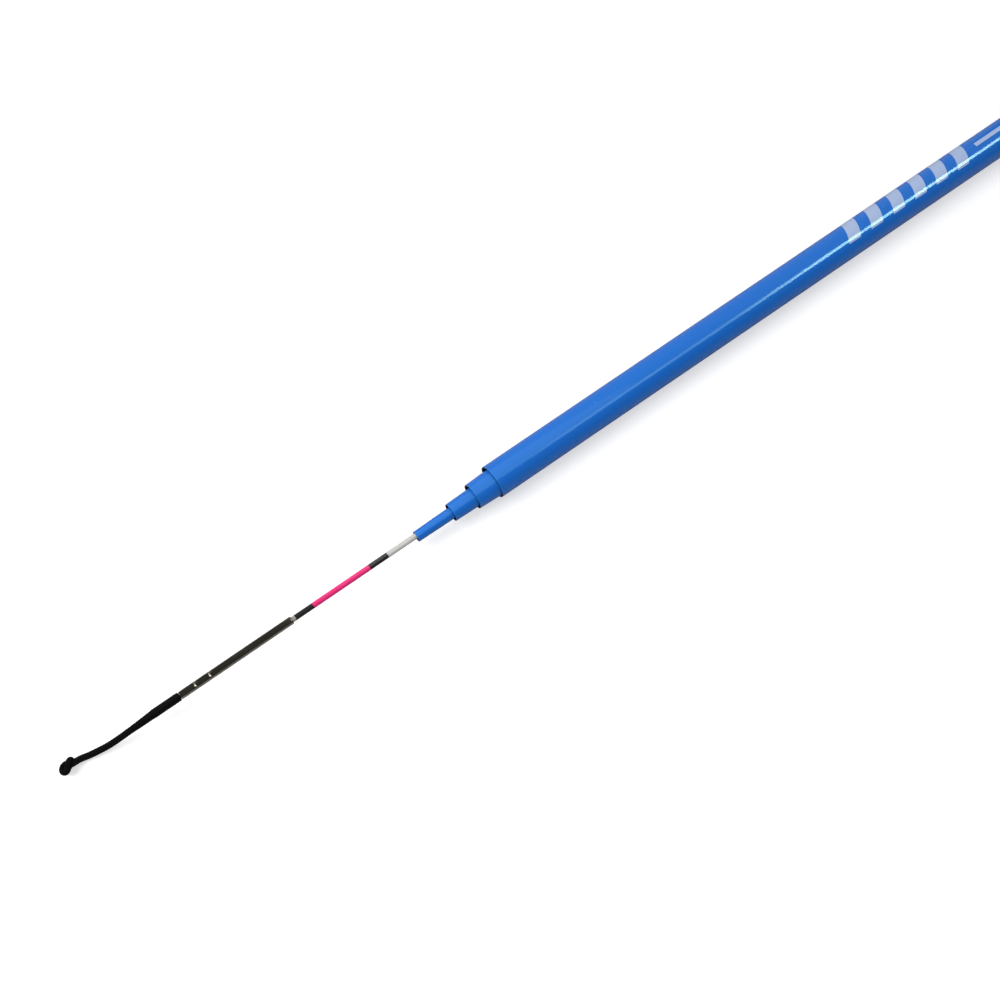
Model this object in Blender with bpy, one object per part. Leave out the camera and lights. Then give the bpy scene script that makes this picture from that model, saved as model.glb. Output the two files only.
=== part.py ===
"""A five-section telescopic micro rod, stowed, with a turning line holder at its tip.

Metres, +Z up. The origin is the middle of the butt cap's flat end face, and the rod lies along +X
with its tip towards +X. Every inner section lies in the bore of the one outside it, off centre by
part of the play there, and slides out along the line that brings it on centre as the two tapers close.
"""

import math
from dataclasses import dataclass

import bmesh
import bpy
from mathutils import Matrix, Vector

MM = 0.001

# Fits. Those round a part are on the radius.
SEAT_GAP = 0.05 * MM  # between end faces that touch
GLUE_GAP = 0.03 * MM  # round a part that is glued or crimped in
SLIP_GAP = 0.03 * MM  # round a section that is locked at full length
RUNNING_GAP = 0.05 * MM  # round a part that turns
THREAD_GAP = 0.09 * MM  # between the cap's thread and its nut ring
STOW_GAP = 0.3 * MM  # between the stowed sections' rear ends and the cushion

# Butt section. Its bore comes from what slides in it.
BUTT_LENGTH = 302.0 * MM
BUTT_WALL = 0.27 * MM  # at the mouth
BUTT_REAR_WALL = 0.32 * MM  # over the nut ring
BUTT_FLARE = 0.5 * MM  # how much larger its radius is at the rear than at the mouth
RIM_CHAMFER = 0.08 * MM  # on every section's mouth, outside

# Inner sections. A reach is how far one stands out of the next when stowed, a play is the space on the
# radius between its body and the mouth outside it, a nose is the cone at its front, a drop is what the
# radius loses along the nose, and a lie is how far off centre it is stowed, as a share of its free play.
SECTION_2_REACH = 4.3 * MM
SECTION_2_PLAY = 0.26 * MM
SECTION_2_NOSE = 5.0 * MM
SECTION_2_DROP = 0.19 * MM
SECTION_2_WALL = 0.24 * MM
SECTION_2_LIE = 0.95

SECTION_3_REACH = 4.7 * MM
SECTION_3_PLAY = 0.33 * MM
SECTION_3_NOSE = 6.0 * MM
SECTION_3_DROP = 0.13 * MM
SECTION_3_WALL = 0.23 * MM
SECTION_3_LIE = 0.63

SECTION_4_REACH = 7.3 * MM
SECTION_4_PLAY = 0.35 * MM
SECTION_4_NOSE = 8.5 * MM
SECTION_4_DROP = 0.11 * MM
SECTION_4_WALL = 0.20 * MM
SECTION_4_LIE = 0.30

TIP_DIAMETER = 0.94 * MM
TIP_SHOWING = 24.8 * MM  # from section 4's mouth to the sleeve
TIP_PLAY = 0.30 * MM
TIP_NOSE = 1.0 * MM
TIP_DROP = 0.02 * MM
TIP_LIE = -0.80
SLEEVE_LAP = 11.0 * MM  # how far the tip section goes into its sleeve

SOCKET_OVERLAP = 30.0 * MM  # how much of a section stays in the next at full length
LEAN = math.radians(40.0)  # of the line on which the stowed sections lie off centre, from straight down

# Painted bands of the tip section, from where it enters the sleeve back towards the butt
BARE_BAND = 0.6 * MM
FRONT_BLACK_BAND = 3.5 * MM
PINK_BAND = 11.2 * MM
REAR_BLACK_BAND = 3.7 * MM

# Line holder at the tip: a crimped sleeve, with a headed spindle that turns in a bush
SLEEVE_WALL = 0.17 * MM
SLEEVE_SPACE = 2.0 * MM  # left free between the tip section and the spindle's head
SLEEVE_RIM = 0.05 * MM  # rounding of both rims
BUSH_LENGTH = 7.0 * MM
BUSH_RECESS = 0.5 * MM  # behind the sleeve's front rim
CRIMP_REAR_INSET = 1.65 * MM  # from the bush's rear end to the first crimp
CRIMP_FRONT_INSET = 2.60 * MM  # from its front end back to the second crimp
CRIMP_DEPTH = 0.07 * MM
CRIMP_HALF_WIDTH = 0.4 * MM
SPINDLE_DIAMETER = 0.44 * MM
SPINDLE_HEAD_GAP = 0.1 * MM  # between the head and the sleeve, on the radius
SPINDLE_HEAD_LENGTH = 0.6 * MM
SPINDLE_CHAMFER = 0.1 * MM  # of its head and of its end
END_PLAY = 0.2 * MM  # of the spindle along its axis, at each end

# Braid
BRAID_DIAMETER = 1.13 * MM
ROOT_DIAMETER = 1.54 * MM  # where the braid is glued over the stem
ROOT_LENGTH = 4.7 * MM
ROOT_END = 0.3 * MM  # of solid braid past the end of the stem
ROOT_TAPER = 4.4 * MM  # from the root's diameter down to the braid's
ROOT_ROUNDING = 0.12 * MM
KNOT_DIAMETER = 1.64 * MM
KNOT_LOBE_SPACING = 1.3 * MM
KNOT_WAIST = 0.88  # of the knot's diameter, between its lobes
KNOT_TURN = math.radians(22.0)  # of the knot's axis about +Z, from +X

# The free braid's route, in millimetres from where it leaves the root. It ends at the knot.
BRAID_ROUTE = (
    (0.00, 0.00, 0.00),
    (2.15, -0.04, -0.30),
    (4.35, -0.23, -0.92),
    (6.25, -0.40, -1.52),
    (8.15, -0.63, -2.08),
    (9.85, -0.96, -2.46),
    (11.55, -1.30, -2.62),
    (13.15, -1.68, -2.64),
)
KNOT_PLACE = (14.70, -2.11, -2.64)  # middle of its first lobe, from the same point
BRAID_STEP = 2.0  # diameters between the points of the tube
CURVE_STEPS = 20  # worked out between two given points

# Butt cap, with its nut ring in the butt, its seal and the cushion for the stowed sections
CAP_STEP = 0.15 * MM  # how far the head stands out past the butt's rear, on the radius
CAP_HEAD_LENGTH = 3.0 * MM
CAP_CHAMFER = 0.35 * MM
KNURL_DEPTH = 0.12 * MM
KNURL_RIDGES = 24
SPIGOT_LENGTH = 6.0 * MM
NUT_RING_WALL = 0.18 * MM  # outside the thread's root
THREAD_DEPTH = 0.2 * MM
THREAD_PITCH = 1.25 * MM
THREAD_ROWS = 5  # rings of the mesh in one pitch
NUT_RING_LENGTH = 6.1 * MM
SEAL_THICKNESS = 0.8 * MM
SEAL_RECESS = 0.9 * MM  # from the butt's rear face to the nut ring
CUSHION_LENGTH = 2.0 * MM
CUSHION_INSET = 0.08 * MM  # of its rim from the thread's root, on the radius

# Sides of the round parts
TUBE_SIDES = 24
SMALL_SIDES = 16
BRAID_SIDES = 12
SEAL_SECTION_SIDES = 8
KNOT_RINGS = 4  # in each lobe

MERGE = 0.0001 * MM
SMOOTH_BELOW = math.radians(32.0)
END_FACE = 0.5  # a face that points this much along the rod is an end face

# Colour, roughness and metallic value of each finish
BLUE_PAINT = ("blue_paint", (0.016, 0.155, 0.60), 0.18, 0.0)
BARE_CARBON = ("bare_carbon", (0.012, 0.012, 0.014), 0.42, 0.0)
WHITE_PAINT = ("white_paint", (0.62, 0.62, 0.60), 0.35, 0.0)
BLACK_PAINT = ("black_paint", (0.006, 0.006, 0.006), 0.30, 0.0)
PINK_PAINT = ("pink_paint", (0.90, 0.02, 0.19), 0.40, 0.0)
POLISHED_STEEL = ("polished_steel", (0.42, 0.41, 0.38), 0.16, 1.0)
BRASS = ("brass", (0.70, 0.50, 0.22), 0.30, 1.0)
ANODISED = ("anodised_aluminium", (0.03, 0.03, 0.035), 0.35, 1.0)
RUBBER = ("rubber", (0.02, 0.02, 0.02), 0.75, 0.0)
BLACK_BRAID = ("black_braid", (0.008, 0.008, 0.009), 0.70, 0.0)


def material(finish):
    """The Principled material of a finish, made once."""
    name, colour, roughness, metallic = finish
    made = bpy.data.materials.get(name)
    if made is None:
        made = bpy.data.materials.new(name)
        made.use_nodes = True
        shader = made.node_tree.nodes["Principled BSDF"]
        shader.inputs["Base Color"].default_value = (*colour, 1.0)
        shader.inputs["Roughness"].default_value = roughness
        shader.inputs["Metallic"].default_value = metallic
        made.diffuse_color = (*colour, 1.0)
    return made


def placed(part, parent, place):
    """Puts a part, or an empty, at a place in the world, under its parent."""
    bpy.context.collection.objects.link(part)
    part.parent = parent
    part.location = Vector(place) - (world_place(parent) if parent else Vector())
    return part


def world_place(part):
    """A part's own place. No part here is turned but the knot, which carries nothing."""
    place = Vector(part.location)
    while part.parent:
        part = part.parent
        place += part.location
    return place


def spun(name, profile, sides, finish, closed=False, shape=None, turn=None):
    """Spins a profile of (distance along the axis, radius) round +X into a closed body.

    An open profile starts and ends on the axis, and a closed one is the section of a ring. shape moves
    each corner out to the radius that it gives for a distance, radius and angle.
    """
    bm = bmesh.new()
    first = Matrix.Rotation(math.pi / sides if turn is None else turn, 3, "X")
    corners = [bm.verts.new(first @ Vector((x, radius, 0.0))) for x, radius in profile]
    ends = corners[1:] + corners[:1] if closed else corners[1:]
    edges = [bm.edges.new(pair) for pair in zip(corners, ends)]
    bmesh.ops.spin(
        bm,
        geom=corners + edges,
        cent=(0.0, 0.0, 0.0),
        axis=(1.0, 0.0, 0.0),
        angle=math.tau,
        steps=sides,
        use_merge=True,
    )
    bmesh.ops.remove_doubles(bm, verts=bm.verts, dist=MERGE)
    if shape:
        for corner in bm.verts:
            radius = math.hypot(corner.co.y, corner.co.z)
            if radius > MERGE:
                angle = math.atan2(corner.co.z, corner.co.y)
                new = shape(corner.co.x, radius, angle)
                corner.co.y *= new / radius
                corner.co.z *= new / radius
    bmesh.ops.recalc_face_normals(bm, faces=bm.faces)
    mesh = bpy.data.meshes.new(name)
    bm.to_mesh(mesh)
    bm.free()
    mesh.shade_smooth()
    mesh.set_sharp_from_angle(angle=SMOOTH_BELOW)
    mesh.materials.append(material(finish))
    return bpy.data.objects.new(name, mesh)


def on_the_outside(middle, out):
    """Whether a face of a tube looks away from its axis."""
    return out.y * middle.y + out.z * middle.z > 0 and abs(out.x) < END_FACE


def paint(part, finish, wanted):
    """Gives a second finish to the faces whose middle and outward direction pass a test."""
    part.data.materials.append(material(finish))
    index = len(part.data.materials) - 1
    for face in part.data.polygons:
        if wanted(face.center, face.normal):
            face.material_index = index


# Where things are along the rod

BUTT_REAR = CAP_HEAD_LENGTH + SEAT_GAP
BUTT_MOUTH = BUTT_REAR + BUTT_LENGTH
SPIGOT_END = CAP_HEAD_LENGTH + SPIGOT_LENGTH
CUSHION_REAR = SPIGOT_END + SEAT_GAP
STOWED_REAR = CUSHION_REAR + CUSHION_LENGTH + STOW_GAP


@dataclass
class Section:
    """An inner section, with the one that slides in it. The tip holds none, and its wall is its radius."""

    name: str
    inner: "Section | None"
    reach: float
    play: float
    nose: float
    drop: float
    wall: float
    lie: float

    def __post_init__(self):
        self.bore = self.inner.body + self.inner.play if self.inner else 0.0
        self.front = self.bore + self.wall
        self.body = self.front + self.drop

    def stow(self, outer_mouth, outer_centre):
        """Puts it in the section outside it, and works out the line that it slides out along."""
        self.mouth = outer_mouth + self.reach
        self.length = self.mouth - STOWED_REAR
        travel = self.length - SOCKET_OVERLAP - self.reach
        self.taper = (self.play - SLIP_GAP) / (self.length - self.nose - SOCKET_OVERLAP)
        offset = self.lie * self.taper * travel * Vector((0.0, math.sin(LEAN), -math.cos(LEAN)))
        self.centre = outer_centre + offset
        self.slide = Vector((travel, 0.0, 0.0)) - offset

    def radius(self, from_front):
        """Outer radius at a distance behind its front end."""
        if from_front < self.nose:
            return self.front + self.drop * from_front / self.nose
        return self.body + self.taper * (from_front - self.nose)


TIP = Section(
    "tip_section",
    inner=None,
    reach=TIP_SHOWING + SLEEVE_LAP,
    play=TIP_PLAY,
    nose=TIP_NOSE,
    drop=TIP_DROP,
    wall=TIP_DIAMETER / 2,
    lie=TIP_LIE,
)
SECTION_4 = Section(
    "section_4",
    inner=TIP,
    reach=SECTION_4_REACH,
    play=SECTION_4_PLAY,
    nose=SECTION_4_NOSE,
    drop=SECTION_4_DROP,
    wall=SECTION_4_WALL,
    lie=SECTION_4_LIE,
)
SECTION_3 = Section(
    "section_3",
    inner=SECTION_4,
    reach=SECTION_3_REACH,
    play=SECTION_3_PLAY,
    nose=SECTION_3_NOSE,
    drop=SECTION_3_DROP,
    wall=SECTION_3_WALL,
    lie=SECTION_3_LIE,
)
SECTION_2 = Section(
    "section_2",
    inner=SECTION_3,
    reach=SECTION_2_REACH,
    play=SECTION_2_PLAY,
    nose=SECTION_2_NOSE,
    drop=SECTION_2_DROP,
    wall=SECTION_2_WALL,
    lie=SECTION_2_LIE,
)
SECTIONS = (SECTION_2, SECTION_3, SECTION_4, TIP)


def stow_all():
    """Stows each inner section in the one outside it, outermost first."""
    mouth = BUTT_MOUTH
    centre = Vector((0.0, 0.0, 0.0))
    for section in SECTIONS:
        section.stow(mouth, centre)
        mouth = section.mouth
        centre = section.centre


stow_all()

BUTT_BORE = SECTION_2.body + SECTION_2.play
BUTT_MOUTH_RADIUS = BUTT_BORE + BUTT_WALL
BUTT_REAR_RADIUS = BUTT_MOUTH_RADIUS + BUTT_FLARE

SLEEVE_REAR = TIP.mouth - SLEEVE_LAP
SLEEVE_BORE = TIP.radius(SLEEVE_LAP) + GLUE_GAP
SPINDLE_REAR = TIP.mouth + SLEEVE_SPACE
BUSH_REAR = SPINDLE_REAR + SPINDLE_HEAD_LENGTH + END_PLAY
BUSH_FRONT = BUSH_REAR + BUSH_LENGTH
SLEEVE_FRONT = BUSH_FRONT + BUSH_RECESS
SLEEVE_LENGTH = SLEEVE_FRONT - SLEEVE_REAR
CRIMPS = (BUSH_REAR + CRIMP_REAR_INSET, BUSH_FRONT - CRIMP_FRONT_INSET)
ROOT_REAR = SLEEVE_FRONT + END_PLAY
BRAID_START = ROOT_REAR + ROOT_LENGTH + SEAT_GAP

NUT_RING_RADIUS = BUTT_REAR_RADIUS - BUTT_REAR_WALL - GLUE_GAP
THREAD_ROOT_RADIUS = NUT_RING_RADIUS - NUT_RING_WALL
SPIGOT_ROOT_RADIUS = THREAD_ROOT_RADIUS - THREAD_DEPTH - THREAD_GAP
NECK_RADIUS = NUT_RING_RADIUS - 2 * RUNNING_GAP - SEAL_THICKNESS
NUT_RING_REAR = BUTT_REAR + SEAL_RECESS
NUT_RING_FRONT = NUT_RING_REAR + NUT_RING_LENGTH


def butt_section(rod):
    """Outermost tube, with a counterbore at its rear for the nut ring."""
    nut_end = NUT_RING_FRONT + SEAT_GAP - BUTT_REAR
    profile = [
        (0.0, NUT_RING_RADIUS + GLUE_GAP),
        (0.0, BUTT_REAR_RADIUS),
        (BUTT_LENGTH - RIM_CHAMFER, BUTT_MOUTH_RADIUS),
        (BUTT_LENGTH, BUTT_MOUTH_RADIUS - RIM_CHAMFER),
        (BUTT_LENGTH, BUTT_BORE),
        (nut_end, BUTT_BORE + SECTION_2.taper * (BUTT_LENGTH - nut_end)),
        (nut_end, NUT_RING_RADIUS + GLUE_GAP),
    ]
    part = spun("butt_section", profile, TUBE_SIDES, BARE_CARBON, closed=True)
    paint(part, BLUE_PAINT, on_the_outside)
    return placed(part, rod, (BUTT_REAR, 0.0, 0.0))


def hollow_section(s, parent):
    """Tube with a conical nose. Its bore has the taper of the section that slides in it."""
    profile = [
        (0.0, s.radius(s.length)),
        (s.length - s.nose, s.body),
        (s.length - RIM_CHAMFER, s.front),
        (s.length, s.front - RIM_CHAMFER),
        (s.length, s.bore),
        (0.0, s.bore + s.inner.taper * s.length),
    ]
    part = spun(s.name, profile, TUBE_SIDES, BARE_CARBON, closed=True)
    paint(part, BLUE_PAINT, on_the_outside)
    return placed(part, parent, Vector((STOWED_REAR, 0.0, 0.0)) + s.centre)


def tip_section(parent):
    """Solid tapered tip. Its painted bands are rings of its faces."""
    length = TIP.length
    band_ends = [SLEEVE_LAP]
    for band in (BARE_BAND, FRONT_BLACK_BAND, PINK_BAND, REAR_BLACK_BAND):
        band_ends.append(band_ends[-1] + band)
    rings = [length - SOCKET_OVERLAP, *reversed(band_ends), TIP.nose]
    profile = [(0.0, 0.0), (0.0, TIP.radius(length))]
    profile += [(length - back, TIP.radius(back)) for back in rings]
    profile += [(length, TIP.radius(0.0)), (length, 0.0)]
    part = spun(TIP.name, profile, SMALL_SIDES, BARE_CARBON)
    _, bare, front_black, pink, rear_black = band_ends

    def between(low, high):
        return lambda middle, out: low < length - middle.x < high and on_the_outside(middle, out)

    paint(part, BLACK_PAINT, between(bare, front_black))
    paint(part, PINK_PAINT, between(front_black, pink))
    paint(part, BLACK_PAINT, between(pink, rear_black))
    paint(part, WHITE_PAINT, between(rear_black, length - SOCKET_OVERLAP))
    return placed(part, parent, Vector((STOWED_REAR, 0.0, 0.0)) + TIP.centre)


def drawn_in(along):
    """How far a crimp draws the sleeve in at a distance along the rod, in a cosine hollow."""
    depth = 0.0
    for crimp in CRIMPS:
        away = min(1.0, abs(along - crimp) / CRIMP_HALF_WIDTH)
        depth += CRIMP_DEPTH * (1 + math.cos(math.pi * away)) / 2
    return depth


def crimp_rings():
    """Distances along the rod of the rings that draw the crimps, rear to front."""
    return sorted(crimp + k * CRIMP_HALF_WIDTH for crimp in CRIMPS for k in (-1.0, -0.5, 0.0, 0.5, 1.0))


def top_sleeve(tip):
    """Metal sleeve glued on the tip, crimped twice on the bush."""
    outer = SLEEVE_BORE + SLEEVE_WALL
    rims = [
        (0.0, SLEEVE_BORE),
        (0.0, outer - SLEEVE_RIM),
        (SLEEVE_RIM, outer),
    ]
    front = [
        (SLEEVE_LENGTH - SLEEVE_RIM, outer),
        (SLEEVE_LENGTH, outer - SLEEVE_RIM),
        (SLEEVE_LENGTH, SLEEVE_BORE),
    ]
    outside = [(x - SLEEVE_REAR, outer - drawn_in(x)) for x in crimp_rings()]
    inside = [(x - SLEEVE_REAR, SLEEVE_BORE - drawn_in(x)) for x in reversed(crimp_rings())]
    profile = rims + outside + front + inside
    part = spun("top_sleeve", profile, SMALL_SIDES, POLISHED_STEEL, closed=True)
    return placed(part, tip, Vector((SLEEVE_REAR, 0.0, 0.0)) + TIP.centre)


def spindle_bush(sleeve):
    """Brass bush that the crimps hold, in which the spindle turns."""
    outer = SLEEVE_BORE - GLUE_GAP
    bore = SPINDLE_DIAMETER / 2 + RUNNING_GAP
    profile = [(0.0, bore), (0.0, outer)]
    profile += [(x - BUSH_REAR, outer - drawn_in(x)) for x in crimp_rings()]
    profile += [(BUSH_LENGTH, outer), (BUSH_LENGTH, bore)]
    part = spun("spindle_bush", profile, SMALL_SIDES, BRASS, closed=True)
    return placed(part, sleeve, Vector((BUSH_REAR, 0.0, 0.0)) + TIP.centre)


def top_spindle(sleeve):
    """Headed spindle. Its origin is on the axis that it turns about, at the head's rear."""
    head = SLEEVE_BORE - SPINDLE_HEAD_GAP
    shaft = SPINDLE_DIAMETER / 2
    end = ROOT_REAR + ROOT_LENGTH - ROOT_END - SPINDLE_REAR
    profile = [
        (0.0, 0.0),
        (0.0, head - SPINDLE_CHAMFER),
        (SPINDLE_CHAMFER, head),
        (SPINDLE_HEAD_LENGTH, head),
        (SPINDLE_HEAD_LENGTH, shaft),
        (end - SPINDLE_CHAMFER, shaft),
        (end, shaft - SPINDLE_CHAMFER),
        (end, 0.0),
    ]
    part = spun("top_spindle", profile, SMALL_SIDES, POLISHED_STEEL)
    return placed(part, sleeve, Vector((SPINDLE_REAR, 0.0, 0.0)) + TIP.centre)


def lilian_root(spindle):
    """Stretch of the braid that is glued over the stem, with a blind bore for it."""
    outer = ROOT_DIAMETER / 2
    bore = SPINDLE_DIAMETER / 2 + GLUE_GAP
    depth = ROOT_LENGTH - ROOT_END + GLUE_GAP
    profile = [
        (depth, 0.0),
        (depth, bore),
        (0.0, bore),
        (0.0, outer - ROOT_ROUNDING),
        (ROOT_ROUNDING, outer),
        (ROOT_LENGTH, outer),
        (ROOT_LENGTH, 0.0),
    ]
    part = spun("lilian_root", profile, BRAID_SIDES, BLACK_BRAID)
    return placed(part, spindle, Vector((ROOT_REAR, 0.0, 0.0)) + TIP.centre)


def smooth_route(points, step):
    """Points at even steps on a smooth curve through the given ones."""
    points = [Vector(p) for p in points]
    padded = [2 * points[0] - points[1], *points, 2 * points[-1] - points[-2]]
    fine = []
    for a, b, c, d in zip(padded, padded[1:], padded[2:], padded[3:]):
        for k in range(CURVE_STEPS):
            t = k / CURVE_STEPS
            bend = (2 * a - 5 * b + 4 * c - d) * t**2
            twist = (3 * b - a - 3 * c + d) * t**3
            fine.append((2 * b + (c - a) * t + bend + twist) / 2)
    fine.append(points[-1])
    along = [0.0]
    for a, b in zip(fine, fine[1:]):
        along.append(along[-1] + (b - a).length)
    count = max(2, round(along[-1] / step) + 1)
    route = []
    for k in range(count):
        want = along[-1] * k / (count - 1)
        i = next(i for i in range(1, len(along)) if along[i] >= want or i == len(along) - 1)
        share = (want - along[i - 1]) / (along[i] - along[i - 1])
        route.append((want, fine[i - 1].lerp(fine[i], share)))
    return route


def lilian_cord(spindle):
    """Free braid: a tube along its route, thick at the root and thinner from there on."""
    curve = bpy.data.curves.new("lilian_cord", "CURVE")
    curve.dimensions = "3D"
    curve.bevel_depth = BRAID_DIAMETER / 2
    curve.bevel_resolution = 2
    curve.use_fill_caps = True
    curve.materials.append(material(BLACK_BRAID))
    given = [Vector(p) * MM for p in BRAID_ROUTE]
    knot = Vector(KNOT_PLACE) * MM
    at_knot = knot + (given[-1] - knot).normalized() * (KNOT_DIAMETER / 2 + SEAT_GAP)
    route = smooth_route([*given, at_knot], BRAID_STEP * BRAID_DIAMETER)
    spline = curve.splines.new("POLY")
    spline.points.add(len(route) - 1)
    for point, (along, place) in zip(spline.points, route):
        point.co = (*place, 1.0)
        thick = max(0.0, 1 - along / ROOT_TAPER)
        point.radius = 1 + thick * (ROOT_DIAMETER / BRAID_DIAMETER - 1)
    part = bpy.data.objects.new("lilian_cord", curve)
    return placed(part, spindle, Vector((BRAID_START, 0.0, 0.0)) + TIP.centre)


def lilian_knot(spindle):
    """Knot at the braid's end: two lobes side by side, with a waist between them."""
    lobe = KNOT_DIAMETER / 2
    waist = KNOT_WAIST * lobe
    half = KNOT_LOBE_SPACING / 2
    rear = [math.pi * k / (2 * KNOT_RINGS) for k in range(KNOT_RINGS + 1)]
    profile = [(-half - lobe * math.cos(a), lobe * math.sin(a)) for a in rear]
    profile.append((0.0, waist))
    profile += [(half + lobe * math.cos(a), lobe * math.sin(a)) for a in reversed(rear)]
    part = spun("lilian_knot", profile, BRAID_SIDES, BLACK_BRAID)
    part.rotation_euler = (0.0, 0.0, KNOT_TURN)
    first_lobe = Vector((BRAID_START, 0.0, 0.0)) + TIP.centre + Vector(KNOT_PLACE) * MM
    to_middle = half * Vector((math.cos(KNOT_TURN), math.sin(KNOT_TURN), 0.0))
    return placed(part, spindle, first_lobe + to_middle)


def thread_height(along, angle, start, end, phase=0.0):
    """Height of a right-hand thread over its root, which fades out at both ends of its run."""
    fade = min(1.0, max(0.0, min(along - start, end - along) / (THREAD_PITCH / 2)))
    return THREAD_DEPTH * fade * (1 + math.cos(math.tau * along / THREAD_PITCH - angle + phase)) / 2


def thread_rings(start, end):
    """Distances of the rings that draw a thread, evenly spaced, without both ends."""
    count = round((end - start) / THREAD_PITCH * THREAD_ROWS)
    return [start + (end - start) * k / count for k in range(1, count)]


def butt_cap(cap_axis):
    """Turned cap: a knurled head, a neck for the seal and a threaded spigot."""
    head = BUTT_REAR_RADIUS + CAP_STEP
    start = NUT_RING_REAR
    sides = 2 * KNURL_RIDGES
    rings = thread_rings(start, SPIGOT_END)
    profile = [
        (0.0, 0.0),
        (0.0, head - CAP_CHAMFER),
        (CAP_CHAMFER, head),
        (CAP_HEAD_LENGTH - CAP_CHAMFER, head),
        (CAP_HEAD_LENGTH, head - CAP_CHAMFER),
        (CAP_HEAD_LENGTH, NECK_RADIUS),
        (start, NECK_RADIUS),
        (start, SPIGOT_ROOT_RADIUS),
        *[(x, SPIGOT_ROOT_RADIUS) for x in rings],
        (SPIGOT_END, SPIGOT_ROOT_RADIUS),
        (SPIGOT_END, 0.0),
    ]

    def knurl_and_thread(x, radius, angle):
        if x < CAP_HEAD_LENGTH and radius > head - MERGE:
            ridge = round(angle / (math.tau / sides)) % 2
            return radius if ridge else radius - KNURL_DEPTH
        if start < x < SPIGOT_END:
            return radius + thread_height(x, angle, start, SPIGOT_END)
        return radius

    part = spun("butt_cap", profile, sides, ANODISED, shape=knurl_and_thread, turn=0.0)
    return placed(part, cap_axis, (0.0, 0.0, 0.0))


def butt_nut_ring(butt):
    """Threaded ring glued in the butt's rear, which the cap screws into."""
    root = THREAD_ROOT_RADIUS
    rings = thread_rings(NUT_RING_REAR, NUT_RING_FRONT)
    profile = [
        (0.0, root),
        (0.0, NUT_RING_RADIUS),
        (NUT_RING_LENGTH, NUT_RING_RADIUS),
        (NUT_RING_LENGTH, root),
        *[(x - NUT_RING_REAR, root) for x in reversed(rings)],
    ]

    def threaded(x, radius, angle):
        if radius > root + MERGE:
            return radius
        return radius - thread_height(x + NUT_RING_REAR, angle, NUT_RING_REAR, NUT_RING_FRONT, math.pi)

    part = spun("butt_nut_ring", profile, TUBE_SIDES, BRASS, closed=True, shape=threaded)
    return placed(part, butt, (NUT_RING_REAR, 0.0, 0.0))


def cap_seal(cap_axis):
    """Rubber ring on the cap's neck."""
    half = SEAL_THICKNESS / 2
    centre = NECK_RADIUS + RUNNING_GAP + half
    turns = [math.tau * k / SEAL_SECTION_SIDES for k in range(SEAL_SECTION_SIDES)]
    profile = [(half * math.cos(a), centre + half * math.sin(a)) for a in turns]
    part = spun("cap_seal", profile, TUBE_SIDES, RUBBER, closed=True)
    return placed(part, cap_axis, (CAP_HEAD_LENGTH + SEAT_GAP + half, 0.0, 0.0))


def cap_cushion(cap):
    """Rubber pad on the spigot's end, which the stowed sections rest on."""
    radius = SPIGOT_ROOT_RADIUS - CUSHION_INSET
    profile = [(0.0, 0.0), (0.0, radius), (CUSHION_LENGTH, radius), (CUSHION_LENGTH, 0.0)]
    part = spun("cap_cushion", profile, TUBE_SIDES, RUBBER)
    return placed(part, cap, (CUSHION_REAR, 0.0, 0.0))


def build_rod():
    """The whole rod, each moving part under the one that it moves in."""
    for old in list(bpy.data.objects):
        bpy.data.objects.remove(old)
    rod = placed(bpy.data.objects.new("rod", None), None, (0.0, 0.0, 0.0))
    cap_axis = placed(bpy.data.objects.new("cap_axis", None), rod, (0.0, 0.0, 0.0))
    butt = butt_section(rod)
    butt_nut_ring(butt)
    cap_seal(cap_axis)
    cap = butt_cap(cap_axis)
    cap_cushion(cap)
    second = hollow_section(SECTION_2, butt)
    third = hollow_section(SECTION_3, second)
    fourth = hollow_section(SECTION_4, third)
    tip = tip_section(fourth)
    sleeve = top_sleeve(tip)
    spindle_bush(sleeve)
    spindle = top_spindle(sleeve)
    lilian_root(spindle)
    lilian_cord(spindle)
    lilian_knot(spindle)
    for s in SECTIONS:
        line = tuple(round(v, 8) for v in s.slide.normalized())
        print(f"{s.name}: {s.length / MM:.2f} mm long, front radius {s.front / MM:.3f} mm,", end=" ")
        print(f"slides {s.slide.length / MM:.2f} mm along", line)
    print("middle of the sleeve's front rim, mm:", SLEEVE_FRONT / MM, tuple(v / MM for v in TIP.centre))


build_rod()
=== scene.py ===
"""Looks of a stowed telescopic micro rod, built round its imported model.

Every length in this file is in millimetres until a mesh, a light or the camera is made of it. +X runs along
the rod from its butt to its tip, and +Z is up. The pieces are surfaces made by formula: most are a profile
turned round the rod's length, with some relief on it, and the braid is a ring of yarns carried along a line.
"""

import bpy
import numpy as np
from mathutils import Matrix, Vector


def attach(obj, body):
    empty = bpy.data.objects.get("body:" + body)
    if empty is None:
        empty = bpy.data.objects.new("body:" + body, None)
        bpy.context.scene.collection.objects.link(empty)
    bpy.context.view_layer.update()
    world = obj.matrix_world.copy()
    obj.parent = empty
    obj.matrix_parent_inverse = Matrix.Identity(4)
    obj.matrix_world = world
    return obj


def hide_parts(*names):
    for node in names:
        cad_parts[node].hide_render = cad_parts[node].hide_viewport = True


MM = 0.001
TURN = 2 * np.pi

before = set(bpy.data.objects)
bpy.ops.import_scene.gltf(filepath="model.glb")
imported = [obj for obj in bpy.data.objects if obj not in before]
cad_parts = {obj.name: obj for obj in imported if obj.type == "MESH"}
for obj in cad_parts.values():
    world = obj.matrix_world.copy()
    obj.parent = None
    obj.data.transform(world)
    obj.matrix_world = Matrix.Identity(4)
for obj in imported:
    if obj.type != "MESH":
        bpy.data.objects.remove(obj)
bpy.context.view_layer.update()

# The view.

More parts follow.
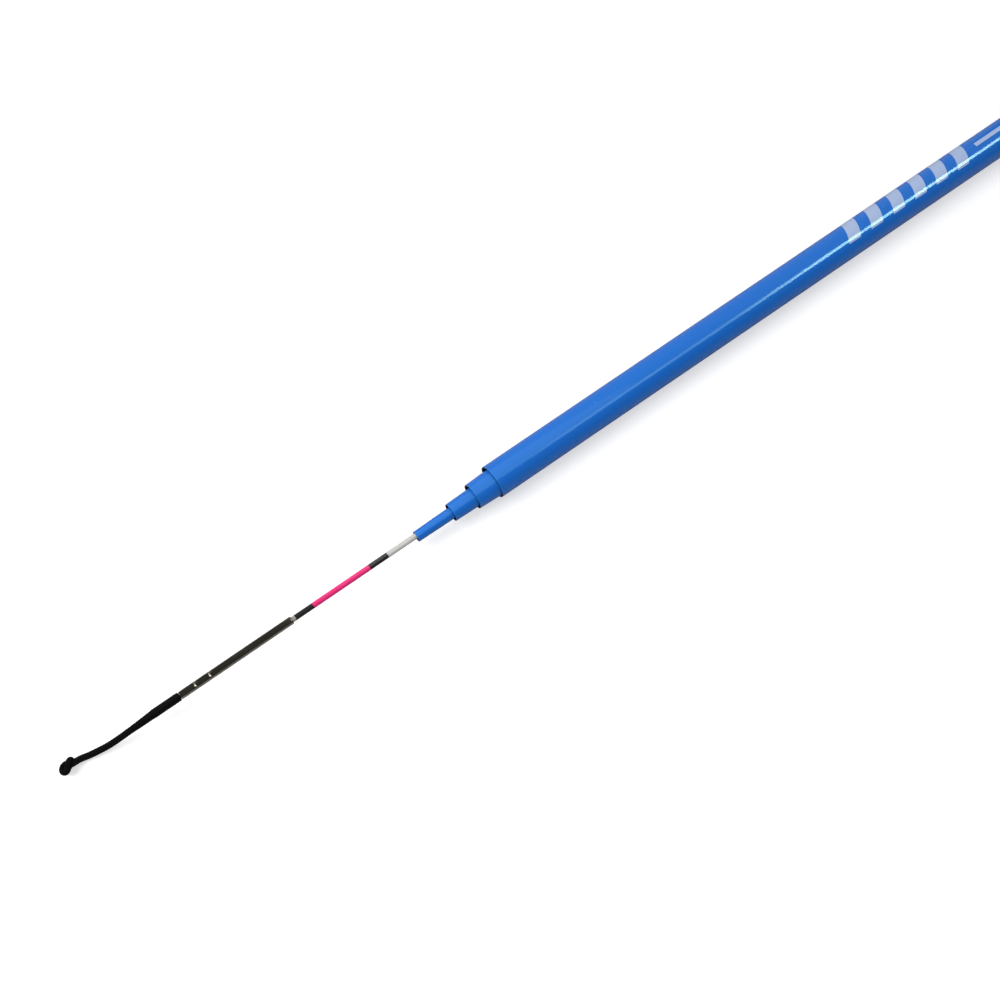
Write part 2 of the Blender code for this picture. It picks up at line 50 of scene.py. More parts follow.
CAMERA_PLACE = (357.52, 72.09, 188.62)
CAMERA_LOOKS = (-0.2487, -0.3310, -0.9103)
CAMERA_LENS = 43.56  # mm, for a sensor 36 mm wide

FLOOR_LEVEL = -3.76


def placed(name, data):
    """A new object in the scene, with its mesh, light or lens."""
    made = bpy.data.objects.new(name, data)
    bpy.context.scene.collection.objects.link(made)
    return made


def photo_camera():
    """The camera of the photograph: above the braid and to the rod's left, looking down and back along it."""
    lens = bpy.data.cameras.new("photo_camera")
    lens.sensor_width = 36.0
    lens.lens = CAMERA_LENS
    lens.clip_start = 0.005
    lens.clip_end = 20.0
    camera = placed("photo_camera", lens)
    camera.location = Vector(CAMERA_PLACE) * MM
    camera.rotation_euler = Vector(CAMERA_LOOKS).to_track_quat("-Z", "Y").to_euler()
    bpy.context.scene.camera = camera


photo_camera()

# Materials: parts that all of them share.


def put(tree, kind, inputs=None, **settings):
    """A new node with its settings made, and each input either linked or given its value."""
    node = tree.nodes.new(kind)
    for name, value in settings.items():
        setattr(node, name, value)
    for name, value in (inputs or {}).items():
        if isinstance(value, bpy.types.NodeSocket):
            tree.links.new(value, node.inputs[name])
        else:
            node.inputs[name].default_value = value
    return node


def sums(tree, operation, *values, clamp=False):
    """The result of one Math node."""
    return put(tree, "ShaderNodeMath", dict(enumerate(values)), operation=operation, use_clamp=clamp).outputs[0]


def times(tree, value, factor, plus=0.0):
    """A number times another, plus a third."""
    return sums(tree, "MULTIPLY_ADD", value, factor, plus)


# The numbers of a Mix node's sockets when it mixes colours.
MIX_SHARE, MIX_FIRST, MIX_SECOND, MIX_COLOUR = 0, 6, 7, 2


def blended(tree, share, first, second):
    """A colour from the first to the second as the share goes from 0 to 1."""
    inputs = {MIX_SHARE: share}
    for socket, value in ((MIX_FIRST, first), (MIX_SECOND, second)):
        inputs[socket] = value if isinstance(value, bpy.types.NodeSocket) else (*value, 1.0)
    return put(tree, "ShaderNodeMix", inputs, data_type="RGBA").outputs[MIX_COLOUR]


def smooth_step(tree, value, low, high):
    """0 at low and beyond it, 1 at high and beyond it, and an even S between, whichever of them is the greater."""
    inputs = {"Value": value, "From Min": low, "From Max": high}
    return put(tree, "ShaderNodeMapRange", inputs, interpolation_type="SMOOTHSTEP").outputs["Result"]


def place_in_mm(tree):
    """The point's own place on the object, in millimetres."""
    here = put(tree, "ShaderNodeTexCoord").outputs["Object"]
    return put(tree, "ShaderNodeVectorMath", {0: here, "Scale": 1 / MM}, operation="SCALE").outputs[0]


def noise(tree, place, scale, detail=3.0, roughness=0.5, along=1.0, across=1.0):
    """Cloudy noise from 0 to 1 with `scale` lumps in a millimetre. A small `along` or `across` draws them out along
    the rod or across it."""
    factors = (along, across, across)
    place = put(tree, "ShaderNodeVectorMath", {0: place, 1: factors}, operation="MULTIPLY").outputs[0]
    inputs = {"Vector": place, "Scale": scale, "Detail": detail, "Roughness": roughness}
    return put(tree, "ShaderNodeTexNoise", inputs).outputs["Fac"]


def effect(name, outputs, **inputs):
    """A new group of nodes with its outputs, its inputs and their values, and its in and out ends."""
    tree = bpy.data.node_groups.new(name, "ShaderNodeTree")
    for socket, value in inputs.items():
        tree.interface.new_socket(socket, in_out="INPUT", socket_type="NodeSocketFloat").default_value = value
    for socket in outputs:
        tree.interface.new_socket(socket, in_out="OUTPUT", socket_type="NodeSocketFloat")
    return tree, put(tree, "NodeGroupInput").outputs, put(tree, "NodeGroupOutput").inputs


def coat_flow_effect():
    """Flow of a brushed or dipped coat: long low waves, short orange peel, and a tone that drifts slowly."""
    tree, given, made = effect("coat_flow", ["Height", "Tone"], Peel=1.0)
    place = place_in_mm(tree)
    peel = times(tree, noise(tree, place, 3.2, 2.0, along=0.6), given["Peel"])
    waves = noise(tree, place, 0.6, 1.0, along=0.12)
    tree.links.new(times(tree, waves, 2.0, peel), made["Height"])
    tree.links.new(noise(tree, place, 0.35, 2.0, along=0.15), made["Tone"])
    return tree


def handling_effect():
    """Marks of use: hair scratches that run mostly along the rod, and smudges left by fingers."""
    tree, given, made = effect("handling", ["Scratch", "Smudge"], Scratches=0.5, Smudges=0.5)
    place = place_in_mm(tree)
    wander = put(tree, "ShaderNodeTexNoise", {"Vector": place, "Scale": 0.25, "Detail": 1.0}).outputs["Color"]
    bent = put(tree, "ShaderNodeVectorMath", {0: place, 1: wander}, operation="ADD").outputs[0]
    lines = smooth_step(tree, noise(tree, bent, 1.6, 2.0, 0.7, along=0.08, across=5.0), 0.66, 0.74)
    lines = times(tree, lines, smooth_step(tree, noise(tree, place, 0.12, 2.0), 0.45, 0.7))
    tree.links.new(times(tree, lines, given["Scratches"]), made["Scratch"])
    smudge = smooth_step(tree, noise(tree, place, 0.22, 4.0, 0.6, along=0.5), 0.4, 0.75)
    tree.links.new(times(tree, smudge, given["Smudges"]), made["Smudge"])
    return tree


def dust_effect():
    """Specks of dust and lint: small round dots, each kept or left out by its own cell's number."""
    tree, given, made = effect("dust", ["Speck"], Cells=1.2, Kept=0.3)
    place = place_in_mm(tree)
    cells = put(tree, "ShaderNodeTexVoronoi", {"Vector": place, "Scale": given["Cells"]})
    dot = smooth_step(tree, cells.outputs["Distance"], 0.12, 0.05)
    number = put(tree, "ShaderNodeSeparateColor", {0: cells.outputs["Color"]}).outputs[0]
    kept = sums(tree, "LESS_THAN", number, given["Kept"])
    tree.links.new(times(tree, dot, kept), made["Speck"])
    return tree


def lathe_effect():
    """Turning marks: fine rings at uneven spacing along the rod's length, the same all the way round."""
    tree, given, made = effect("lathe_marks", ["Height"], Rings=12.0)
    rings = noise(tree, place_in_mm(tree), given["Rings"], 3.0, 0.7, across=0.02)
    tree.links.new(rings, made["Height"])
    return tree


COAT_FLOW = coat_flow_effect()
HANDLING = handling_effect()
DUST = dust_effect()
LATHE = lathe_effect()


def used(tree, group, **values):
    """One of the shared effects, placed with this material's own values."""
    return put(tree, "ShaderNodeGroup", values, node_tree=group).outputs


def new_material(name, **constants):
    """A material with its shader's plain values set, and its node tree."""
    made = bpy.data.materials.new(name)
    made.use_nodes = True
    tree = made.node_tree
    for socket, value in constants.items():
        tree.nodes["Principled BSDF"].inputs[socket.replace("_", " ")].default_value = value
    return made, tree


def own_mark(tree, title):
    """A number that the piece's own points carry."""
    return put(tree, "ShaderNodeAttribute", attribute_name=title).outputs["Fac"]


def dusted(tree, colour, dust, share, **values):
    """The colour with specks of dust on it."""
    speck = used(tree, DUST, **values)["Speck"]
    return blended(tree, times(tree, speck, share), colour, dust)


def surfaced(made, colour, rough, height, relief):
    """The material with its colour, its roughness, and the bump of a height, `relief` mm for a height of 1."""
    tree = made.node_tree
    bump = put(tree, "ShaderNodeBump", {"Height": height, "Distance": relief * MM}).outputs[0]
    for socket, value in (("Base Color", colour), ("Roughness", rough), ("Normal", bump)):
        tree.links.new(value, tree.nodes["Principled BSDF"].inputs[socket])
    return made


# Materials: the finishes.

BLUE = (0.0135, 0.161, 0.660)
DEEP_BLUE = (0.0130, 0.154, 0.645)
# Painted highlight: the lacquer's rim is lighter, as if its rounded edge caught the light.
RIM_HIGHLIGHT_BLUE = (0.032, 0.235, 0.740)
PEARL = (0.28, 1.0, 0.90)  # tint of the light that the lacquer mirrors
PALE_PRINT = (0.43, 0.535, 0.80)
LACQUER_DUST = (0.45, 0.52, 0.60)

# The place of the printing on the butt: along the rod, and round it from the top towards +Y.
BARS_FROM, BARS_TO = 190.0, 224.5
BARS_LOW, BARS_HIGH = np.radians(-66.0), np.radians(33.0)
BAR_SPACING = 5.75
BAR_FROM, BAR_TO = 0.08, 0.60  # of the spacing
BAR_SLANT = 0.45  # mm along the rod for each mm round it
STRIPE_FROM, STRIPE_TO = 179.8, 187.6
STRIPE_MIDDLE = np.radians(-8.0)
STRIPE_HALF_WIDTH = 0.42
PRINT_RADIUS = 3.26
PRINT_EDGE = 0.05


def soft_span(tree, value, low, high, edge):
    """1 where the value lies between low and high, with soft edges."""
    rises = smooth_step(tree, value, low - edge, low + edge)
    return times(tree, rises, smooth_step(tree, value, high + edge, high - edge))


def pale_bars(tree, place):
    """Mask of slanted bars and one stripe, printed on the upper side of the butt."""
    parts = put(tree, "ShaderNodeSeparateXYZ", {0: place}).outputs
    turn = sums(tree, "ARCTAN2", parts["Y"], parts["Z"])
    arc = times(tree, turn, PRINT_RADIUS)
    slanted = times(tree, arc, -BAR_SLANT, parts["X"])
    count = sums(tree, "FRACT", sums(tree, "DIVIDE", sums(tree, "SUBTRACT", slanted, BARS_FROM), BAR_SPACING))
    bars = soft_span(tree, count, BAR_FROM, BAR_TO, PRINT_EDGE / BAR_SPACING)
    low, high = BARS_LOW * PRINT_RADIUS, BARS_HIGH * PRINT_RADIUS
    bars = times(tree, bars, soft_span(tree, arc, low, high, PRINT_EDGE))
    bars = times(tree, bars, soft_span(tree, slanted, BARS_FROM, BARS_TO, PRINT_EDGE))
    middle = STRIPE_MIDDLE * PRINT_RADIUS
    stripe = soft_span(tree, arc, middle - STRIPE_HALF_WIDTH, middle + STRIPE_HALF_WIDTH, PRINT_EDGE)
    stripe = times(tree, stripe, soft_span(tree, parts["X"], STRIPE_FROM, STRIPE_TO, PRINT_EDGE))
    return sums(tree, "MAXIMUM", bars, stripe)


def blue_lacquer(name, printed):
    """Glossy blue lacquer under a clear coat, with a painted highlight along its very edge, and pale printed bars
    on the butt.
    """
    coat = {"Coat_Weight": 0.35, "Coat_Roughness": 0.03, "Coat_IOR": 1.4}
    made, tree = new_material(name, IOR=1.36, Specular_Tint=(*PEARL, 1.0), **coat)
    flow = used(tree, COAT_FLOW)
    marks = used(tree, HANDLING, Smudges=0.6)
    colour = blended(tree, flow["Tone"], BLUE, DEEP_BLUE)
    if printed:
        colour = blended(tree, pale_bars(tree, place_in_mm(tree)), colour, PALE_PRINT)
    # Painted highlight along the lacquer's rim.
    colour = blended(tree, own_mark(tree, "painted_rim_highlight"), colour, RIM_HIGHLIGHT_BLUE)
    colour = dusted(tree, colour, LACQUER_DUST, 0.35, Cells=0.9, Kept=0.05)
    rough = times(tree, marks["Smudge"], 0.10, 0.12)
    rough = times(tree, marks["Scratch"], 0.25, rough)
    return surfaced(made, colour, rough, flow["Height"], 0.004)


CARBON_SKIN, CARBON_FIBRE = (0.003, 0.003, 0.004), (0.012, 0.012, 0.014)
CARBON_DUST = (0.20, 0.20, 0.19)


def bare_carbon():
    """Sanded black tube without paint: faint fibres along the rod, and a dull resin skin between them."""
    made, tree = new_material("bare_carbon", IOR=1.35)
    place = place_in_mm(tree)
    fibres = noise(tree, place, 2.0, 3.0, 0.6, along=0.25, across=9.0)
    colour = blended(tree, smooth_step(tree, fibres, 0.4, 0.7), CARBON_SKIN, CARBON_FIBRE)
    colour = dusted(tree, colour, CARBON_DUST, 0.4, Cells=2.0, Kept=0.12)
    rough = times(tree, noise(tree, place, 1.2, 3.0), 0.25, 0.30)
    return surfaced(made, colour, rough, fibres, 0.012)


WHITE_PAINT, AGED_WHITE = (0.60, 0.595, 0.57), (0.54, 0.53, 0.50)
BLACK_PAINT = (0.006, 0.006, 0.007)
PINK_PAINT = (0.86, 0.012, 0.20)
BARE_TIP = (0.36, 0.34, 0.30)
SCRATCHED_PAINT = (0.30, 0.29, 0.28)
# Where each of the tip's colours ends and the next begins, from the rear forwards.
WHITE_ENDS, PINK_STARTS, PINK_ENDS, BLACK_ENDS = 327.15, 330.85, 342.05, 345.55
BAND_EDGE = 0.04
BAND_WOBBLE = 0.22


def tip_paint():
    """White, black, pink, black and bare bands along the tip, brushed on while it turned, under a thin coat."""
    made, tree = new_material("tip_paint", Coat_Weight=0.35, Coat_Roughness=0.08)
    flow = used(tree, COAT_FLOW, Peel=0.6)
    marks = used(tree, HANDLING, Scratches=0.6)
    place = place_in_mm(tree)
    along = put(tree, "ShaderNodeSeparateXYZ", {0: place}).outputs["X"]
    wobble = sums(tree, "SUBTRACT", noise(tree, place, 1.4, 2.0), 0.5)
    along = times(tree, wobble, BAND_WOBBLE, along)
    colour = blended(tree, times(tree, flow["Tone"], 0.5), WHITE_PAINT, AGED_WHITE)
    starts = (WHITE_ENDS, PINK_STARTS, PINK_ENDS, BLACK_ENDS)
    for start, paint in zip(starts, (BLACK_PAINT, PINK_PAINT, BLACK_PAINT, BARE_TIP)):
        colour = blended(tree, smooth_step(tree, along, start - BAND_EDGE, start + BAND_EDGE), colour, paint)
    colour = blended(tree, times(tree, marks["Scratch"], 0.3), colour, SCRATCHED_PAINT)
    rough = times(tree, marks["Smudge"], 0.18, 0.26)
    return surfaced(made, colour, rough, flow["Height"], 0.006)


# The third colour is painted shade, darkening the crimps' dents.
BRIGHT_STEEL, BROWNED_STEEL, DENT_SHADE_STEEL = (0.29, 0.275, 0.235), (0.20, 0.18, 0.145), (0.20, 0.17, 0.13)


def polished_steel():
    """Polished stainless tube: a faint brown tarnish in patches, painted shade darkening the crimps' dents, and
    hair scratches along and round it.
    """
    made, tree = new_material("polished_steel", Metallic=1.0)
    marks = used(tree, HANDLING, Scratches=1.0, Smudges=1.0)
    rings = used(tree, LATHE, Rings=9.0)
    tarnish = smooth_step(tree, noise(tree, place_in_mm(tree), 0.8, 4.0, 0.6), 0.35, 0.75)
    colour = blended(tree, times(tree, tarnish, 0.5), BRIGHT_STEEL, BROWNED_STEEL)
    # Painted shade: the crimps' dents darkened and browned.
    colour = blended(tree, times(tree, own_mark(tree, "crimped"), 0.45), colour, DENT_SHADE_STEEL)
    rough = times(tree, marks["Smudge"], 0.10, 0.09)
    rough = times(tree, marks["Scratch"], 0.22, rough)
    return surfaced(made, colour, rough, rings["Height"], 0.0012)


BRIGHT_BRASS, TARNISHED_BRASS = (0.72, 0.50, 0.20), (0.42, 0.26, 0.10)


def turned_brass():
    """Turned brass with its tool rings, darker where it has tarnished."""
    made, tree = new_material("turned_brass", Metallic=1.0)
    rings = used(tree, LATHE, Rings=7.0)
    marks = used(tree, HANDLING, Smudges=1.0)
    tarnish = smooth_step(tree, noise(tree, place_in_mm(tree), 0.7, 4.0, 0.6), 0.4, 0.75)
    colour = blended(tree, tarnish, BRIGHT_BRASS, TARNISHED_BRASS)
    rough = times(tree, marks["Smudge"], 0.20, 0.24)
    return surfaced(made, colour, rough, rings["Height"], 0.006)


DARK_ANODISING, LIGHT_ANODISING = (0.018, 0.018, 0.021), (0.036, 0.036, 0.042)
WORN_ALUMINIUM = (0.42, 0.42, 0.43)


def black_anodised():
    """Black anodised aluminium: a satin skin with a fine grain, worn through to grey on the knurl's crests."""
    made, tree = new_material("black_anodised", Metallic=0.85)
    rings = used(tree, LATHE, Rings=8.0)
    marks = used(tree, HANDLING, Scratches=1.0, Smudges=0.6)
    place = place_in_mm(tree)
    patchy = smooth_step(tree, noise(tree, place, 1.1, 4.0, 0.6), 0.42, 0.66)
    worn = times(tree, smooth_step(tree, own_mark(tree, "crest"), 0.82, 1.0), patchy)
    worn = sums(tree, "MAXIMUM", worn, times(tree, marks["Scratch"], 0.5))
    grain = noise(tree, place, 22.0, 2.0)
    colour = blended(tree, worn, blended(tree, grain, DARK_ANODISING, LIGHT_ANODISING), WORN_ALUMINIUM)
    rough = times(tree, marks["Smudge"], 0.15, 0.34)
    return surfaced(made, colour, rough, times(tree, grain, 0.3, rings["Height"]), 0.004)


DARK_RUBBER, BLOOMED_RUBBER = (0.016,) * 3, (0.034, 0.033, 0.032)
RUBBER_DUST = (0.22, 0.21, 0.20)


def black_rubber():
    """Moulded black rubber: matt, finely pitted, with a grey bloom and a little dust."""
    made, tree = new_material("black_rubber", IOR=1.45)
    place = place_in_mm(tree)
    pits = noise(tree, place, 9.0, 3.0)
    bloom = smooth_step(tree, noise(tree, place, 0.5, 3.0), 0.4, 0.8)
    colour = blended(tree, bloom, DARK_RUBBER, BLOOMED_RUBBER)
    colour = dusted(tree, colour, RUBBER_DUST, 0.5, Cells=1.8, Kept=0.35)
    return surfaced(made, colour, times(tree, pits, 0.2, 0.62), pits, 0.02)


DARK_YARN, LIGHT_YARN = (0.0006,) * 3, (0.0042, 0.0040, 0.0036)
YARN_SHEEN, YARN_DUST = (0.30, 0.30, 0.32), (0.20, 0.19, 0.18)


def plaited_yarn():
    """Black yarn: dull, with loose fibres, a painted highlight on the plait's crowns, and glossy with glue at its
    root.
    """
    sheen = {"Sheen_Weight": 0.02, "Sheen_Roughness": 0.5, "Sheen_Tint": (*YARN_SHEEN, 1.0)}
    made, tree = new_material("plaited_yarn", IOR=1.18, **sheen)
    fibre = noise(tree, place_in_mm(tree), 14.0, 4.0, 0.7)
    # Painted highlight on the plait's crowns, where the yarns stand up; the fibres' lighter flecks are the yarn's
    # own.
    crown_highlight = times(tree, own_mark(tree, "crown"), 0.5)
    fibre_and_highlight = sums(tree, "MULTIPLY_ADD", fibre, 0.6, crown_highlight, clamp=True)
    colour = blended(tree, fibre_and_highlight, DARK_YARN, LIGHT_YARN)
    colour = dusted(tree, colour, YARN_DUST, 0.35, Cells=1.6, Kept=0.22)
    rough = times(tree, fibre, 0.18, 0.66)
    rough = times(tree, own_mark(tree, "glue"), -0.36, rough)
    return surfaced(made, colour, rough, fibre, 0.03)


LACQUER = blue_lacquer("blue_lacquer", printed=False)
PRINTED_LACQUER = blue_lacquer("printed_blue_lacquer", printed=True)
CARBON = bare_carbon()
TIP_PAINT = tip_paint()
STEEL = polished_steel()
BRASS = turned_brass()
ANODISED = black_anodised()
RUBBER = black_rubber()
YARN = plaited_yarn()

# Surfaces.


def shell(name, grid, materials, marks, row_material=None, looped=False):
    """A closed mesh on a grid of points in millimetres, rows by columns. The columns always go round. With
    looped, the last row joins the first; otherwise the first and the last row are each one point, a pole.
    marks are named numbers that the materials read, one for each point of the grid, and row_material is the
    number of the material between a row and the next."""
    rows, columns = grid.shape[:2]

    def listed(values):
        inner = values if looped else values[1:-1]
        inner = inner.reshape(-1, *values.shape[2:])
        return inner if looped else np.concatenate([values[0, :1], inner, values[-1, :1]])

    corner = np.arange(rows * columns).reshape(rows, columns)
    if looped:
        corner = np.vstack([corner, corner[:1]])
    else:
        corner = np.clip(corner - columns + 1, 0, (rows - 2) * columns + 1)
    beside = np.roll(corner, -1, axis=1)
    faces = np.stack([corner[:-1], beside[:-1], beside[1:], corner[1:]], axis=-1)
    kept = np.ones(faces.shape, bool)
    if not looped:
        kept[0, :, 1] = kept[-1, :, 3] = False  # a face at a pole has three corners
    loops, sizes = faces[kept], kept.sum(axis=2).ravel()
    points = listed(grid)
    mesh = bpy.data.meshes.new(name)
    mesh.vertices.add(len(points))
    mesh.vertices.foreach_set("co", (points * MM).ravel())
    mesh.loops.add(len(loops))
    mesh.loops.foreach_set("vertex_index", loops)
    mesh.polygons.add(len(sizes))
    mesh.polygons.foreach_set("loop_start", np.concatenate([[0], np.cumsum(sizes)[:-1]]))
    mesh.polygons.foreach_set("use_smooth", np.ones(len(sizes), bool))
    for made in materials:
        mesh.materials.append(made)
    if row_material is not None:
        mesh.polygons.foreach_set("material_index", np.repeat(row_material[: len(faces)], columns))
    for title, values in marks.items():
        mesh.attributes.new(title, "FLOAT", "POINT").data.foreach_set("value", listed(values))
    mesh.update(calc_edges=True)
    return placed(name, mesh)


def unit(vectors):
    """The vectors, each with a length of 1."""
    return vectors / np.linalg.norm(vectors, axis=-1, keepdims=True)


EASE_STEPS = 6
HOLD = 1.6  # easings from a corner to the point that keeps the long stretch beyond it straight


def eased(corners):
    """A profile of points and the material after each, from corners: place, radius, easing, and the material's
    number where the piece has more than one. It is closed, but open where it starts on the rod's middle line.

    Each corner C gives way to the curve (1-t)^2 A + 2t(1-t) C + t^2 B, where A and B lie one easing before and
    after C on the profile. One more point on each side keeps the stretches beyond it straight. An open profile
    keeps its two ends, which are poles, as they are.
    """
    corners = np.array([(*corner, 0)[:4] for corner in corners], float)
    spot, ease, looped = corners[:, :2], corners[:, 2, None], corners[0, 1] > 0
    inner = np.arange(len(corners)) if looped else np.arange(1, len(corners) - 1)
    to_last = unit(spot[inner - 1] - spot[inner])
    to_next = unit(spot[(inner + 1) % len(corners)] - spot[inner])
    centre, reach = spot[inner, None], ease[inner, None]
    t = np.linspace(0, 1, EASE_STEPS)[None, :, None]
    start, end = centre + reach * to_last[:, None], centre + reach * to_next[:, None]
    curve = (1 - t) ** 2 * start + 2 * t * (1 - t) * centre + t**2 * end
    hold_last = centre + HOLD * reach * to_last[:, None]
    hold_next = centre + HOLD * reach * to_next[:, None]
    points = np.concatenate([hold_last, curve, hold_next], axis=1)
    material = np.repeat(corners[np.stack([inner - 1, inner], axis=1), 3], EASE_STEPS // 2 + 1)
    points = points.reshape(-1, 2)
    if not looped:
        points = np.vstack([spot[:1], points, spot[-1:]])
        material = np.concatenate([corners[:1, 3], material, corners[-1:, 3]])
    return points, material.astype(int)


def round_the_rod(columns):
    """Even angles round the rod, from +Y towards +Z."""
    return np.arange(columns) / columns * TURN


def turned(name, points, material, middle, columns, materials, relief=None, marks=None):
    """A profile of (place, radius) turned round the rod: x = place, y = middle + r cos a and z = middle + r sin a,
    with r the radius plus the relief, a function of place, radius and angle."""
    angle = round_the_rod(columns)[None, :]
    place = points[:, :1] + 0 * angle
    radius = points[:, 1:] + 0 * angle
    if relief is not None:
        radius = radius + relief(place, radius, angle)
    across = middle[0] + radius * np.cos(angle)
    up = middle[1] + radius * np.sin(angle)
    marks = {title: made_of(place, radius, angle) for title, made_of in (marks or {}).items()}
    grid = np.stack([place, across, up], axis=-1)
    return shell(name, grid, materials, marks, material, looped=points[0, 1] > 0)


def finer(points, material, low, high, step):
    """The profile with its stretches between two places along the rod cut to short steps."""
    made, kept = [points[:1]], []
    for a, b, number in zip(points[:-1], points[1:], material[:-1]):
        within = min(a[0], b[0]) < high and max(a[0], b[0]) > low
        count = int(np.ceil(np.linalg.norm(b - a) / step)) if within else 1
        share = np.arange(1, count + 1)[:, None] / count
        made.append(a + (b - a) * share)
        kept.append(np.full(count, number))
    return np.vstack(made), np.concatenate([*kept, material[-1:]])


def lathed(name, corners, middle, columns, materials, fine=(), **more):
    """A piece turned round the rod from its profile's corners. In each stretch of `fine`, which is its start,
    end and step, the profile is cut to short steps."""
    points, material = eased(corners)
    for low, high, step in fine:
        points, material = finer(points, material, low, high, step)
    return turned(name, points, material, middle, columns, materials, **more)


def rings_of(node):
    """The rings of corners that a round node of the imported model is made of, rear to front: for each, its place
    along the rod, its middle's y and z, and its least and greatest radius."""
    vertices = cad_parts[node].data.vertices
    corners = np.empty(3 * len(vertices))
    vertices.foreach_get("co", corners)
    corners = np.unique(np.round(corners.reshape(-1, 3) / MM, 4), axis=0)
    rings = []
    for place in np.unique(np.round(corners[:, 0], 2)):
        ring = corners[np.abs(corners[:, 0] - place) < 0.006, 1:]
        middle = ring.mean(axis=0)
        radius = np.linalg.norm(ring - middle, axis=1)
        rings.append((place, *middle, radius.min(), radius.max()))
    return np.array(rings)


def dressed(made, body, slot, *nodes):
    """The piece rides on its body and stands for its nodes, which are hidden. Its slot is not used."""
    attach(made, body)
    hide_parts(*nodes)


# The braid.

SLEEVE = rings_of("top_sleeve")
SPINDLE = rings_of("top_spindle")
HOLDER_MIDDLE = SLEEVE[0, 1:3]

BRAID_RADIUS = 0.565
ROOT_RADIUS = 0.77
ROOT_REAR = 367.47
ROOT_FRONT = 372.35
ROOT_TAPER = 4.4
ROOT_STEP = 0.82  # share of the root's extra thickness that the taper starts with
BRAID_START = 372.40
LAST_STRAIGHT = 0.6  # before it
# The free braid's points, from where it leaves the root.
BRAID_ROUTE = (
    (0.0, 0.0, 0.0),
    (2.15, -0.04, -0.30),
    (4.35, -0.23, -0.92),
    (6.25, -0.40, -1.52),
    (8.15, -0.63, -2.08),
    (9.85, -0.96, -2.46),
    (11.55, -1.30, -2.62),
    (13.15, -1.68, -2.64),
)
KNOT_YARN = 0.74  # least distance between two stretches of the knot
KNOT_RADIUS = 0.49  # of the surface drawn on it, whose stretches press into each other
KNOT_POINTS = 200
KNOT_ROUNDS = 150
KNOT_SHRINK = 0.994
KNOT_PASSES = 12  # of evening out in each round
KNOT_EASE = 0.25  # how far each pass goes
KNOT_BESIDE = 1.5  # yarns along the line within which two points aren't pushed apart
LOOSE_HALF = 1.95  # greatest t of the loose knot
LOOSE_ENDS = 9.0  # length of each end drawn out
LOOSE_TURN = 0.8  # how far those turn to lie along the rod
KNOT_ROLL = np.radians(59.0)  # about its own length
KNOT_PITCH = np.radians(10.0)  # nose down
KNOT_TURN = np.radians(54.0)  # about +Z, from the way the braid comes in
KNOT_MIDDLE = (15.18, -1.75, -2.28)  # from where the braid leaves the root
LEAD_LENGTH = 0.57  # of the braid before the knot that turns with it
TAIL_LENGTH = 0.3
SQUEEZE_AHEAD, SQUEEZE_LENGTH = 0.4, 1.2  # where the braid narrows before the knot, and over what length
END_ROUNDING = 0.16
REAR_FACE = 0.6  # share of the thickness at which the root starts
GLUE_AMOUNT, GLUE_REACH = 1.3, 1.5
BRAID_STEP = 0.06
BRAID_COLUMNS = 64
YARNS = 8  # that run each way round the braid
YARN_PITCH = 0.5  # mm along the braid from one yarn to the next
YARN_CROWN = 0.035
YARN_WEAVE = 0.022
PLAIT_DEPTH = YARN_CROWN + 2 * YARN_WEAVE


def along_line(points):
    """How far along a line of points each of them lies."""
    return np.concatenate([[0.0], np.cumsum(np.linalg.norm(np.diff(points, axis=0), axis=1))])


def evenly(points, count):
    """The line of points cut anew into `count` points at even distances."""
    along = along_line(points)
    want = np.linspace(0.0, along[-1], count)
    return np.stack([np.interp(want, along, points[:, k]) for k in range(3)], axis=1)


def smooth_line(points, cuts=12):
    """The curve through the points whose stretch from b to c, with a and d their neighbours, is half of
    2b + (c-a)t + (2a-5b+4c-d)t^2 + (3b-a-3c+d)t^3, for t from 0 to 1."""
    points = np.vstack([2 * points[0] - points[1], points, 2 * points[-1] - points[-2]])
    a, b, c, d = (points[k : len(points) - 3 + k, None] for k in range(4))
    t = (np.arange(cuts) / cuts)[None, :, None]
    curve = (2 * b + (c - a) * t + (2 * a - 5 * b + 4 * c - d) * t**2 + (3 * b - a - 3 * c + d) * t**3) / 2
    return np.vstack([curve.reshape(-1, 3), points[-2:-1]])


